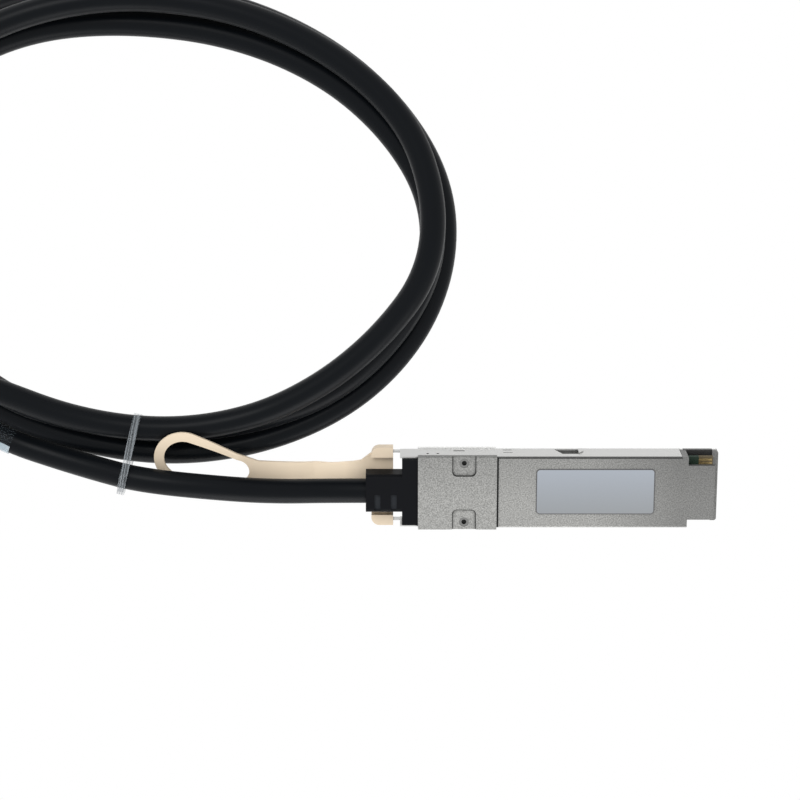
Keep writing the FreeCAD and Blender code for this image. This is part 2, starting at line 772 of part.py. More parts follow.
def bundle_tie():
    """Clear strap round the coil's lower side and the plug's own stretch of jacket, leaning with them."""
    gap = size("tie_gap")
    lean = math.radians(size("tie_lean"))
    radius = size("cable_diameter") / 2
    step = 45
    reach = (radius + gap) / math.cos(math.radians(step / 2))
    side = size("tie_x") + math.tan(lean) * (size("coil_y") - size("coil_inner_short")) - size("coil_x")
    inner_y = size("coil_y") - size("coil_inner_short") * math.sqrt(1 - (side / size("coil_inner_long")) ** 2)
    outer_y = size("coil_y") - size("coil_outer_short") * math.sqrt(1 - (side / size("coil_outer_long")) ** 2)
    floor = size("tie_thick")
    away = 1 / math.cos(lean)
    inner = [Vector(0, outer_y * away, floor), Vector(0, (inner_y - size("tie_tuck")) * away, floor)]
    inner += corner_points((inner_y - radius) * away, size("coil_high_height") - radius, reach,
                           [step * (turn + 0.5) for turn in (0, 1)])
    inner += corner_points(size("tie_cable_y") * away, size("tie_cable_height"), reach,
                           [step * (turn + 0.5) for turn in (1, 2, 3, 4)])
    hollow = Part.Face(Part.makePolygon(inner + inner[:1]))
    band = hollow.makeOffset2D(size("tie_thick")).cut(hollow)
    strap = band.extrude(Vector(size("tie_width"), 0, 0))
    leaning = Rotation(Vector(0, 0, 1), -size("tie_lean"))
    return feature("tie", strap, Placement(Vector(size("tie_x"), 0, 0), leaning))


def marker_sleeve():
    """Clear sleeve wrapped round the plug's own stretch, just before its coil."""
    before, here = (Vector(*LEAD_ROUTE[index]) for index in (7, 8))
    run = (here - before).normalize()
    length = size("marker_length")
    start = before + run * size("marker_start")
    radius = size("cable_diameter") / 2
    outer = Part.makeCylinder(radius + size("marker_thick"), length, start, run)
    return feature("marker", outer.cut(Part.makeCylinder(radius, length, start, run)))


def split_boot():
    x_low, x_high = "split_x - split_width / 2", "split_x + split_width / 2"
    body = block("split_body", (x_low, x_high), ("split_y", "split_y + split_length"), ("0", "split_height"))
    return rounded("split", body, "split_round", lambda edge: along(edge, 1))


def leg_coil():
    """Outer shape of the tied legs: two turns below and one on top, with a way for the split boot."""
    centre = ("split_x - leg_turn_outer", "leg_coil_y")
    half = "leg_bundle / 2"
    outer = rod("legs_outer", f"leg_turn_outer + {half}", "leg_bundle", (*centre, "0"))
    crown = rod("legs_crown", f"leg_turn_top + {half}", "leg_top_height", (*centre, "0"))
    hole = rod("legs_hole", f"leg_turn_inner - {half}", "leg_top_height + 2 * wall", (*centre, "-wall"))
    notch = rod("legs_notch", f"leg_turn_top - {half}", "leg_top_height", (*centre, "leg_bundle"))
    split_end = "split_y + split_length"
    way = block("legs_way", (f"split_x - split_width / 2 - split_gap", "split_x + split_width"),
                ("split_y", split_end), ("-wall", "leg_top_height"))
    stub = block("legs_stub", (f"split_x - {half}", f"split_x + {half}"), (split_end, "leg_coil_y"),
                 ("0", "leg_bundle"))
    ring = cut("legs_ring", join("legs_stack", outer, crown), hole, notch, way)
    return join("legs", ring, stub)


def leg_tie():
    """Strap round the tied legs, across the coil's far side."""
    centre_x = size("split_x") - size("leg_turn_outer")
    half = size("leg_bundle") / 2
    inner_y = size("leg_coil_y") + size("leg_turn_inner") - half
    outer_y = size("leg_coil_y") + size("leg_turn_outer") + half
    thick = size("leg_tie_thick")
    inner = [Vector(0, inner_y - thick, thick), Vector(0, outer_y, thick),
             Vector(0, outer_y, size("leg_bundle")), Vector(0, outer_y - half, size("leg_top_height")),
             Vector(0, inner_y - thick, size("leg_top_height"))]
    hollow = Part.Face(Part.makePolygon(inner + inner[:1]))
    band = hollow.makeOffset2D(thick).cut(hollow)
    strap = band.extrude(Vector(size("leg_tie_width"), 0, 0))
    start = Vector(centre_x - size("leg_tie_width") / 2, 0, 0)
    return feature("legs_tie", strap, Placement(start, Rotation()))


# Shared formulas of the small plug, in its own frame: X from its rear face to its nose
SMALL_OPEN = "small_length - small_open_length"
SMALL_LIP = "small_length - small_lip"
CHANNEL = "lever_width + 2 * lever_gap"
PIVOT_Z = "lever_top - lever_thick / 2"


def small_lower():
    """Lower casting of the small plug: a tray that is open at the nose."""
    tray = across("small_tray", ("0", "small_length"), "small_width", ("0", "small_parting"))
    over = "small_parting + small_wall"
    bay = across("small_bay", ("small_wall", SMALL_LIP), "small_card_width - 2 * card_ledge",
                 ("small_wall", over))
    card_bay = across("small_card_bay", ("small_card_start - card_gap", SMALL_LIP),
                      "small_card_width + 2 * card_gap", ("small_card_low", over))
    nose = across("small_nose", (SMALL_OPEN, "small_length + small_wall"), "small_width + small_wall",
                  ("small_rail_height", over))
    way = across("small_way", ("-small_wall", "2 * small_wall"), "small_neck_width",
                 ("small_neck_low", "small_neck_high"))
    return cut("small_lower", tray, bay, card_bay, nose, way)


def small_upper():
    """Upper casting: a thick lid with a channel for the lever and the strap, and a tongue at the nose."""
    lid = across("small_lid", ("0", SMALL_OPEN), "small_width", ("small_parting", "small_height"))
    tongue = across("small_tongue", (f"{SMALL_OPEN} - small_wall", SMALL_LIP), "small_card_width",
                    ("small_height - small_wall", "small_height"))
    channel = across("small_channel", ("-small_wall", "lever_front + lever_gap"), CHANNEL,
                     ("channel_low", "small_height + small_wall"))
    axle = rod("small_axle", "trunnion_radius + trunnion_gap",
               "lever_width + 2 * trunnion_length + 2 * trunnion_gap",
               ("lever_pivot", "lever_width / 2 + trunnion_length + trunnion_gap", PIVOT_Z),
               Rotation(Vector(1, 0, 0), 90))
    return cut("small_upper", join("small_roof", lid, tongue), channel, axle)


def small_card():
    return across("small_card", ("small_card_start", SMALL_LIP), "small_card_width",
                  ("small_card_low", "small_card_low + card_thick"))


def latch_lever():
    """Rocker on two trunnions, with a wedge-shaped boss near its front."""
    bar = across("lever_bar", ("lever_start", "lever_front"), "lever_width",
                 ("lever_top - lever_thick", "lever_top"))
    pins = rod("lever_pins", "trunnion_radius", "lever_width + 2 * trunnion_length",
               ("lever_pivot", "lever_width / 2 + trunnion_length", PIVOT_Z), Rotation(Vector(1, 0, 0), 90))
    boss = doc.addObject("Part::Wedge", "lever_boss")
    for prop, formula in (("Xmin", "0"), ("Xmax", "boss_length"), ("X2min", "0"),
                          ("X2max", "boss_length / 3"), ("Ymin", "0"), ("Ymax", "boss_rise"), ("Zmin", "0"),
                          ("Zmax", "boss_width"), ("Z2min", "0"), ("Z2max", "boss_width")):
        bind(boss, prop, formula)
    boss.Placement = Placement(Vector(), Rotation(Vector(1, 0, 0), 90))
    bind_place(boss, "lever_front - boss_length", "boss_width / 2", "lever_top")
    return join("latch_lever", bar, pins, boss)


def pull_strap():
    """Flat strap in the lid's channel, with a wider ribbed grip behind the plug."""
    low = "lever_top - strap_thick"
    tongue = across("strap_tongue", ("-strap_tail", "lever_start - strap_gap"), "lever_width",
                    (low, "lever_top"))
    grip = across("strap_grip", ("-strap_tail - strap_grip_length", "-strap_tail"), "strap_grip_width",
                  (low, "lever_top"))
    ribs = []
    for number in (1, 2, 3):
        start = f"-strap_tail - {number} * strap_rib_pitch"
        ribs.append(across(f"strap_rib_{number}", (start, f"{start} + strap_rib_width"),
                           "strap_grip_width - strap_rib_pitch", ("lever_top", "lever_top + strap_gap")))
    return join("pull_strap", tongue, grip, *ribs)


def small_boot():
    body = across("small_boot_body", ("-small_boot_length", "0"), "small_boot_width",
                  ("small_boot_low", "small_boot_high"))
    soft = rounded("small_boot_soft", body, "small_boot_round", lambda edge: along(edge, 0))
    neck = across("small_boot_neck", ("0", "2 * small_wall"), "small_neck_width",
                  ("small_neck_low", "small_neck_high"))
    return join("small_boot", soft, neck)


def build_wide_plug():
    sub_part(wide_lower(), "qsfp_lower_shell")
    sub_part(wide_upper(), "qsfp_upper_shell")
    sub_part(wide_screws(), "qsfp_cover_screws")
    sub_part(wide_card(), "qsfp_paddle_card")
    sub_part(wide_contacts(), "qsfp_contact_pads")
    sub_part(wide_wires(), "qsfp_core_wires")
    arms = [sub_part(release_arm(f"arm_{side}", sign), f"release_arm_{side}")
            for side, sign in (("left", 1), ("right", -1))]
    for side, sign in (("left", 1), ("right", -1)):
        sub_part(return_spring(f"spring_{side}", sign), f"return_spring_{side}")
    sub_part(wide_boot(), "cable_boot")
    sub_part(wide_label(), "blank_label")
    doc.recompute()
    sub_part(pull_tab(arms), "pull_tab")


def build_cable():
    sub_part(tube("lead", LEAD_ROUTE, size("cable_diameter")), "cable_lead")
    tie = sub_part(bundle_tie(), "bundle_tie")
    sub_part(main_coil(tie), "cable_coil")
    sub_part(tube("tail", TAIL_ROUTE, size("cable_diameter")), "cable_tail")
    sub_part(marker_sleeve(), "cable_marker")
    sub_part(split_boot(), "split_boot")
    legs_tie = sub_part(leg_tie(), "leg_tie")
    sub_part(cut("legs_seated", leg_coil(), legs_tie), "leg_coil")
    for leg, route in enumerate(LEG_ROUTES, start=1):
        sub_part(tube(f"leg_{leg}", route, size("leg_diameter")), f"leg_{leg}")


def build_small_plugs():
    """One set of masters, copied to the end of each leg with its nose towards -Y."""
    masters = {
        "lower_shell": small_lower(), "upper_shell": small_upper(), "paddle_card": small_card(),
        "latch_lever": latch_lever(), "pull_strap": pull_strap(), "boot": small_boot(),
    }
    doc.recompute()
    for number in range(len(LEG_ROUTES)):
        leg = number + 1
        x = size("small_first_x") + number * size("small_pitch")
        place = Placement(Vector(x, size("small_rear_y"), 0), Rotation(Vector(0, 0, 1), -90))
        for word, master in masters.items():
            shape = master.Shape.copy()
            sub_part(feature(f"small_{leg}_{word}", shape, place * shape.Placement), f"sfp_{leg}_{word}")


def write_parts():
    """Check every object and every sub-part, then write one file for each sub-part."""
    doc.recompute()
    for item in doc.Objects:
        if "Invalid" in item.State or "Error" in item.State:
            raise RuntimeError(f"{item.Name} failed: {item.State}")
    os.makedirs("parts", exist_ok=True)
    for item in sub_parts:
        shape = item.Shape
        if shape.isNull() or not shape.isValid() or not shape.Solids:
            raise RuntimeError(f"{item.Label} has no valid solid")
        shape.exportStep(f"parts/{item.Label}.step")
    print("sub-parts", len(sub_parts))


build_wide_plug()
build_cable()
build_small_plugs()
write_parts()
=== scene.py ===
"""Looks of the breakout cable: jacket and legs as real cords, and the finishes of all its pieces."""

import json
import math

import bmesh
import bpy
from mathutils import Matrix, Vector


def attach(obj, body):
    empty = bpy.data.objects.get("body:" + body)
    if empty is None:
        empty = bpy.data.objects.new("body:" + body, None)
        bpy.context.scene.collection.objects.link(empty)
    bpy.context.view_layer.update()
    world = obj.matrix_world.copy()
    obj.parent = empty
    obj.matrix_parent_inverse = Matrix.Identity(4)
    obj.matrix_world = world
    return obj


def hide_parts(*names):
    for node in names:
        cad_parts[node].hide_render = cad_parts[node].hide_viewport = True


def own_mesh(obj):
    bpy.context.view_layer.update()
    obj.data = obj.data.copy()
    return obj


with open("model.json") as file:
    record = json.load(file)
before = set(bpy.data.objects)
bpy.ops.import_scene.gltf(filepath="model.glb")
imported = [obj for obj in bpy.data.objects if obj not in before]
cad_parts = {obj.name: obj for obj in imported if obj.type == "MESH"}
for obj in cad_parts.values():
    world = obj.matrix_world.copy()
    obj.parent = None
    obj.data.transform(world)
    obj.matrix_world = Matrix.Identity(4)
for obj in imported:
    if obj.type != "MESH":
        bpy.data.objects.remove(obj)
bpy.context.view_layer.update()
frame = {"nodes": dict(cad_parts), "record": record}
nodes = frame["nodes"]

# Sizes and places are in millimetres and angles in degrees, except in names that end in _M
MM = 0.001

# Jacket: the CAD part's route from the boot to the turns and on to the split boot, with points moved
JACKET_DIAMETER = 6.1
LEAD_ROUTE = [
    (-12.8, -0.5, 5.0), (-23.0, -0.5, 5.0), (-33.2, 0.4, 8.6), (-44.5, 2.4, 13.6), (-66.5, 4.8, 14.3),
    (-78.0, 6.2, 9.0), (-89.5, 8.6, 5.2), (-100.0, 11.7, 3.4), (-112.0, 18.2, 3.1), (-121.8, 28.0, 3.1),
    (-129.0, 41.5, 3.1),
]
TAIL_ROUTE = [
    (-103.0, 27.2, 11.2), (-114.0, 31.6, 12.2), (-124.5, 35.2, 11.6), (-133.5, 39.8, 10.2),
    (-140.8, 46.3, 8.0), (-145.6, 54.4, 6.2), (-147.5, 63.5, 5.4), (-147.5, 70.0, 5.4),
]

# Turns of the jacket, clockwise seen from above: angle, middle along X, half length, half width and height
COIL_SIDE = 64.75
COIL_STEP = 20
COIL_TURNS = [
    (190, -63.0, 68.5, 55.5, 3.1), (135, -65.0, 73.0, 58.4, 3.1), (90, -68.0, 72.0, 56.0, 3.1),
    (60, -67.7, 72.0, 55.0, 3.1), (30, -67.2, 72.0, 54.0, 3.1), (0, -67.0, 73.3, 55.0, 3.1),
    (-45, -62.0, 69.5, 56.3, 3.1), (-85, -62.0, 69.0, 55.7, 3.7), (-107, -62.0, 68.4, 54.7, 3.6),
    (-130, -62.0, 67.0, 56.4, 3.1), (-190, -62.0, 62.5, 49.6, 3.1), (-225, -64.0, 67.5, 52.0, 3.1),
    (-270, -68.0, 69.5, 48.6, 3.4), (-330, -67.0, 68.5, 48.6, 7.4), (-360, -66.5, 70.2, 48.6, 8.6),
    (-405, -62.0, 64.2, 51.6, 6.2), (-430, -61.4, 62.0, 50.4, 3.6), (-450, -61.0, 60.5, 49.9, 3.7),
    (-475, -62.0, 61.0, 50.5, 3.6), (-490, -62.0, 60.7, 52.8, 5.4), (-515, -62.0, 61.5, 50.8, 8.2),
    (-560, -62.0, 66.2, 52.0, 9.4), (-585, -66.0, 71.0, 53.5, 9.2), (-630, -68.0, 72.0, 55.0, 9.2),
    (-660, -67.7, 72.2, 55.4, 9.2), (-691, -67.3, 73.3, 54.6, 11.6), (-720, -67.0, 70.2, 51.0, 15.2),
    (-765, -62.0, 59.2, 47.6, 11.4), (-793, -61.2, 59.8, 48.1, 8.9), (-810, -61.0, 60.0, 48.3, 8.9),
    (-830, -61.5, 61.5, 48.4, 9.0),
]

# Legs: the CAD part's routes from the last turn to the small plugs, with points moved
LEG_DIAMETER = 4.2
LEG_ROUTES = [
    [(-206.4, 83.7, 10.0), (-209.0, 71.1, 11.6), (-205.2, 57.5, 8.0),
     (-204.0, 44.0, 4.2), (-204.0, 32.0, 4.2)],
    [(-210.0, 77.9, 14.2), (-198.1, 67.1, 14.7), (-193.0, 56.0, 8.6),
     (-189.0, 44.0, 4.2), (-189.0, 32.0, 4.2)],
    [(-194.5, 69.6, 13.0), (-182.9, 64.5, 11.6), (-177.0, 54.5, 7.6),
     (-174.0, 43.5, 4.2), (-174.0, 32.0, 4.2)],
    [(-184.5, 67.5, 17.7), (-171.5, 63.5, 13.0), (-163.5, 55.3, 7.6),
     (-159.0, 43.5, 4.2), (-159.0, 32.0, 4.2)],
]
SPLIT_BOOT_END = 94.0
SMALL_PLUG = ("boot", "lower_shell", "upper_shell", "paddle_card", "latch_lever", "pull_strap")

# Turns of the legs, anticlockwise seen from above: angle, radius and height of the bundle's middle
LEG_COIL_CENTRE = (-179.5, 98.0)
LEG_COIL_STEP = 20
LEG_TURNS = [
    (0, 32.0, 5.3), (165, 32.0, 5.3), (250, 21.8, 5.2), (490, 20.4, 5.5),
    (600, 19.6, 14.6), (700, 26.9, 14.8), (840, 31.1, 14.7), (960, 30.5, 15.0),
]
LEG_LAST_ANGLE = (890, 900, 930, 940)

# Each leg's place in the bundle, which twists by so many degrees for each degree of the turns
LEG_SPREAD = 2.97
LEG_BUNDLE_ANGLE = (-45, 45, 225, 135)
LEG_TWIST = 1.2

# Fineness of the cords and of the marker sleeve
CORD_ROUNDNESS = 6
CORD_STEPS = 10
SLEEVE_SIDES = 40

# Marker sleeve, from a distance along the jacket, with painted light past a distance from its middle: pale on
# the side away from the coil, clear where the coil shades it
MARKER_START = 90.2
MARKER_LENGTH = 7.0
MARKER_RADIUS = 3.4
MARKER_WALL = 0.25
MARKER_LIT_SIDE = 0.55
LIT_SIDE_ALPHA = 0.45
SLEEVE_ALPHA = 0.01

# Copies of CAD meshes
MERGE_REACH = 0.001
CREASE_DEGREES = 35.0

# Release arms: flat inner and outer side, and the upper corners of the latch window with how far they move
ARM_SIDES = (8.5, 8.95)
WINDOW_TOP = 3.3
WINDOW_ENDS = (33.7, 39.5)
WINDOW_RISE = 1.7
WINDOW_TAPERS = (1.8, 0.0)
CORNER_SLACK = 0.02

# Pull tab: X, how far the strap's edge moves in Y there, and its rise for each millimetre of that
TAB_TRIM = [
    (-52.0, 0.0, 0.30), (-27.0, -1.50, 0.06), (-22.0, -1.25, 0.0), (-17.5, -0.60, 0.0), (-13.6, 0.50, 0.0),
    (-11.4, 0.0, 0.0),
]

# That move grows from none at the inner Y to all of it at the outer, on a mesh cut across in steps
TAB_INNER = 2.5
TAB_OUTER = 6.5
TAB_CUT_STEP = 2.0
TAB_CUT_SLACK = 0.01

# Places on the castings: X of the wide plug's rear and of the painted shade towards its nose, Y of its
# painted shade to one side, and edges of its painted light and shade
PLUG_REAR = -2.0
NOSE_PAINTED_SHADE = (42.0, 64.0)
SIDE_SHADE = (-2.0, 9.0)
LEDGE_SIDE = 8.9
LEDGE_TOP = 1.0
INNER_WALL_SIDE = 8.6
RAIL_X = (65.5, 72.7)
RAIL_Z = (0.2, 2.0)
GROOVE_HEIGHT = 7.0

# Painted shadows in the seams beside the visible arm: least Y, X from and to, and how dark
SEAM_SHADOW_HEIGHT = 7.3
SEAM_SHADOWS = [(8.65, 19.3, 64.6, 0.85), (9.0, 0.0, 19.3, 0.35)]

# Crevices, which get painted shade, and how squarely a face has to look along an axis
CREVICE_REACH = 1.0
CREVICE_SAMPLES = 8
FACING_SQUARE = 0.9

# Places and marks on the other pieces, with painted light and shade among them
SCREW_PLACE = (11.3, 7.5)
DRIVE_RADIUS = 0.6
CONTACT_START = 69.1
LABEL_EDGE_SHADOW = 0.16
LABEL_ROUND = 0.9
BOOT_SLOT_FLOOR = (7.55, 7.65)
STRAP_LIGHT_FROM = (-43.0, -31.0)
STRAP_LIGHT_TO = (-18.0, -13.0)
TIE_RIB = 1.0
TIE_SLANT = 0.184
TIE_ALPHA = (0.09, 0.47)
BOX_LOW_CORNER = 0
BOX_HIGH_CORNER = 6

# Noise in the finishes: how many of its steps go into a metre
CAST_GRAIN = 3400.0
MOULD_GRAIN = 1800.0
SHEET_MARKS = (60.0, 60.0, 2400.0)
TIE_STREAKS = 1900.0
LABEL_CLOUDS = 60.0
CAST_CLOUDS = 90.0
PLAIN_CLOUDS = 140.0
CLEAR_CLOUDS = 200.0

# Depth of the bumps on castings and mouldings, and of the tie's ribs
GRAIN_DEPTH = 0.1
RIB_DEPTH = 0.2

# Floor, room and lamps: name, place, aim and size in metres, and power in watts
FLOOR_SIZE_M = 6.0
ROOM_STRENGTH = 0.98
LAMPS = [
    ("key_lamp", (-0.5, 0.9, 1.1), (0.0, 0.03, 0.0), 0.7, 7.0),
    ("fill_lamp", (0.15, -1.0, 0.32), (-0.02, 0.04, 0.0), 0.9, 5.0),
]

# Camera: nearly straight down, tilted a little from the coil's side
PIXELS = 800
PIXELS_PER_MM = 4.1
SENSOR_WIDTH = 36.0
CAMERA_DISTANCE_M = 0.55
CAMERA_TILT = 14.7
CAMERA_AIM = (-4.4, 22.6, 5.0)


def between(stops, place):
    """Values at a place, eased from one stop to the next. A stop is its place and its values."""
    for before, after in zip(stops, stops[1:]):
        share = (place - before[0]) / (after[0] - before[0])
        if share <= 1:
            break
    ease = share * share * (3 - 2 * share)
    return [first + (second - first) * ease for first, second in zip(before[1:], after[1:])]


def on_oval(centre, long, short, angle, step):
    """A control point outside an oval, so that the smooth line runs on the oval itself.

    Near a control point the line takes three quarters of it and an eighth of each neighbour.
    """
    swell = 1 / (0.75 + 0.25 * math.cos(math.radians(step)))
    turn = math.radians(angle)
    return centre[0] + long * swell * math.cos(turn), centre[1] + short * swell * math.sin(turn)


def jacket_turns():
    """The jacket's way round in its loose turns."""
    points = []
    first, last = COIL_TURNS[0][0], COIL_TURNS[-1][0]
    for angle in range(first, last - 1, -COIL_STEP):
        middle, long, short, height = between(COIL_TURNS, angle)
        points.append((*on_oval((middle, COIL_SIDE), long, short, angle, COIL_STEP), height))
    return points


def leg_turns(leg):
    """One leg's way round in the twisted bundle of four."""
    points = []
    for angle in range(0, LEG_LAST_ANGLE[leg] - LEG_COIL_STEP // 2, LEG_COIL_STEP):
        radius, height = between(LEG_TURNS, angle)
        lay = math.radians(LEG_BUNDLE_ANGLE[leg] + LEG_TWIST * angle)
        radius += LEG_SPREAD * math.cos(lay)
        height += LEG_SPREAD * math.sin(lay)
        points.append((*on_oval(LEG_COIL_CENTRE, radius, radius, angle, LEG_COIL_STEP), height))
    return points


def show(name, data, slot, body, *hidden):
    """A piece in its finish, which rides on a body and shows instead of CAD nodes."""
    data.materials.append(finishes[slot])
    piece = bpy.data.objects.new(name, data)
    bpy.context.scene.collection.objects.link(piece)
    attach(piece, body)
    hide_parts(*hidden)
    return piece


def smooth_cord(name, points, diameter, slot, *hidden):
    """A round cord on one smooth line through its route's control points."""
    curve = bpy.data.curves.new(name, "CURVE")
    curve.dimensions = "3D"
    curve.bevel_depth = diameter * MM / 2
    curve.bevel_resolution = CORD_ROUNDNESS
    curve.use_fill_caps = True
    spline = curve.splines.new("NURBS")
    spline.points.add(len(points) - 1)
    for control, point in zip(spline.points, points):
        control.co = (*(Vector(point) * MM), 1)
    spline.order_u = 3
    spline.use_endpoint_u = True
    spline.resolution_u = CORD_STEPS
    return show(name, curve, slot, "root", *hidden)


def line_points(cord):
    """The smooth line of a cord, read from a copy of its curve that has no thickness."""
    bare = cord.data.copy()
    bare.bevel_depth = 0.0
    holder = bpy.data.objects.new("line", bare)
    mesh = bpy.data.meshes.new_from_object(holder)
    points = [vertex.co.copy() for vertex in mesh.vertices]
    bpy.data.objects.remove(holder)
    bpy.data.meshes.remove(mesh)
    bpy.data.curves.remove(bare)
    return points


def stretch(points, start, length):
    """The points of a line from one distance along it, for a length."""
    gone = 0.0
    part = []
    for before, here in zip(points, points[1:]):
        gone += (here - before).length
        if start * MM <= gone <= (start + length) * MM:
            part.append(here)
    return part


def smooth_mesh(name, work):
    """A mesh with smooth faces, from a bmesh that is done."""
    for face in work.faces:
        face.smooth = True
    mesh = bpy.data.meshes.new(name)
    work.to_mesh(mesh)
    work.free()
    return mesh


def sleeve(name, points, radius, wall, slot, node_name):
    """A thin tube round a stretch of cord."""
    rings = []
    for here, before, after in zip(points, points[:1] + points[:-1], points[1:] + points[-1:]):
        turn = (after - before).to_track_quat("Z", "Y").to_matrix().to_4x4()
        rings.append(Matrix.Translation(here) @ turn)
    work = bmesh.new()
    bmesh.ops.create_circle(work, segments=SLEEVE_SIDES, radius=radius * MM, matrix=rings[0])
    edges = list(work.edges)
    for before, here in zip(rings, rings[1:]):
        added = bmesh.ops.extrude_edge_only(work, edges=edges)["geom"]
        corners = [item for item in added if isinstance(item, bmesh.types.BMVert)]
        edges = [item for item in added if isinstance(item, bmesh.types.BMEdge)]
        edges = [edge for edge in edges if all(vertex in corners for vertex in edge.verts)]
        bmesh.ops.transform(work, matrix=here @ before.inverted(), verts=corners)
    bmesh.ops.recalc_face_normals(work, faces=work.faces)
    bmesh.ops.solidify(work, geom=work.faces, thickness=wall * MM)
    return show(name, smooth_mesh(name, work), slot, "root", node_name)


def merged_skin(node):
    """A copy of a CAD node's mesh with its loose triangles joined."""
    work = bmesh.new()
    work.from_mesh(node.data)
    bmesh.ops.remove_doubles(work, verts=work.verts, dist=MERGE_REACH * MM)
    return work


def skin_piece(name, work, node, slot, body):
    """The piece that shows instead of a CAD node, from a copy of its mesh."""
    mesh = smooth_mesh(name, work)
    if "custom_normal" in mesh.attributes:
        mesh.attributes.remove(mesh.attributes["custom_normal"])
    mesh.set_sharp_from_angle(angle=math.radians(CREASE_DEGREES))
    return show(name, mesh, slot, body, node.name)


def near(value, place):
    """Whether a coordinate of a mesh is at a place."""
    return abs(value - place * MM) < CORNER_SLACK * MM


def on_side(item, side):
    """Whether an edge or face lies in a flat side of a release arm."""
    return all(near(abs(vertex.co.y), side) for vertex in item.verts)


def taller_window(node):
    """A release arm whose latch window is taller and leans at its rear end, its flat sides filled anew."""
    work = merged_skin(node)
    for side in ARM_SIDES:
        flat = [face for face in work.faces if on_side(face, side)]
        bmesh.ops.delete(work, geom=flat, context="FACES_KEEP_BOUNDARY")
    for end, taper in zip(WINDOW_ENDS, WINDOW_TAPERS):
        corner = [vertex for vertex in work.verts if near(vertex.co.x, end) and near(vertex.co.z, WINDOW_TOP)]
        bmesh.ops.translate(work, verts=corner, vec=Vector((taper, 0, WINDOW_RISE)) * MM)
    for side in ARM_SIDES:
        rim = [edge for edge in work.edges if edge.is_boundary and on_side(edge, side)]
        bmesh.ops.triangle_fill(work, edges=rim, use_beauty=True)
    bmesh.ops.recalc_face_normals(work, faces=work.faces)
    return work


def trimmed_tab(node):
    """The pull tab with its strap's edge on the coil's side drawn in to a line that looks straight."""
    work = merged_skin(node)
    start, stop = TAB_TRIM[0][0], TAB_TRIM[-1][0]
    place = start
    while place < stop:
        bmesh.ops.bisect_plane(work, geom=[*work.verts, *work.edges, *work.faces], dist=TAB_CUT_SLACK * MM,
                               plane_co=(place * MM, 0, 0), plane_no=(1, 0, 0))
        place += TAB_CUT_STEP
    for vertex in work.verts:
        x, y = vertex.co.x / MM, vertex.co.y / MM
        if start < x < stop and y > TAB_INNER:
            shift, tilt = between(TAB_TRIM, x)
            shift *= min(1.0, (y - TAB_INNER) / (TAB_OUTER - TAB_INNER))
            vertex.co += Vector((0, shift, shift * tilt)) * MM
    return work


class Value:
    """A socket of a finish: arithmetic on it adds Math nodes."""

    def __init__(self, finish, socket):
        self.finish = finish
        self.socket = socket

    def math(self, operation, *inputs):
        return self.finish.node("ShaderNodeMath", {"operation": operation}, dict(enumerate(inputs)))

    def __add__(self, other):
        return self.math("ADD", self, other)

    def __sub__(self, other):
        return self.math("SUBTRACT", self, other)

    def __rsub__(self, other):
        return self.math("SUBTRACT", other, self)

    def __mul__(self, other):
        return self.math("MULTIPLY", self, other)

    def __abs__(self):
        return self.math("ABSOLUTE", self)

    __radd__ = __add__
    __rmul__ = __mul__

    def root(self):
        return self.math("SQRT", self)

    def sine(self):
        return self.math("SINE", self)

    def at_least(self, bound):
        return self.math("MAXIMUM", self, bound)

    def over(self, bound):
        """1 where the value is more than a bound, else 0."""
        return self.math("GREATER_THAN", self, bound)

    def under(self, bound):
        """1 where the value is less than a bound, else 0."""
        return self.math("LESS_THAN", self, bound)

    def inside(self, low, high):
        """1 where the value lies between two bounds, else 0."""
        return self.over(low) * self.under(high)


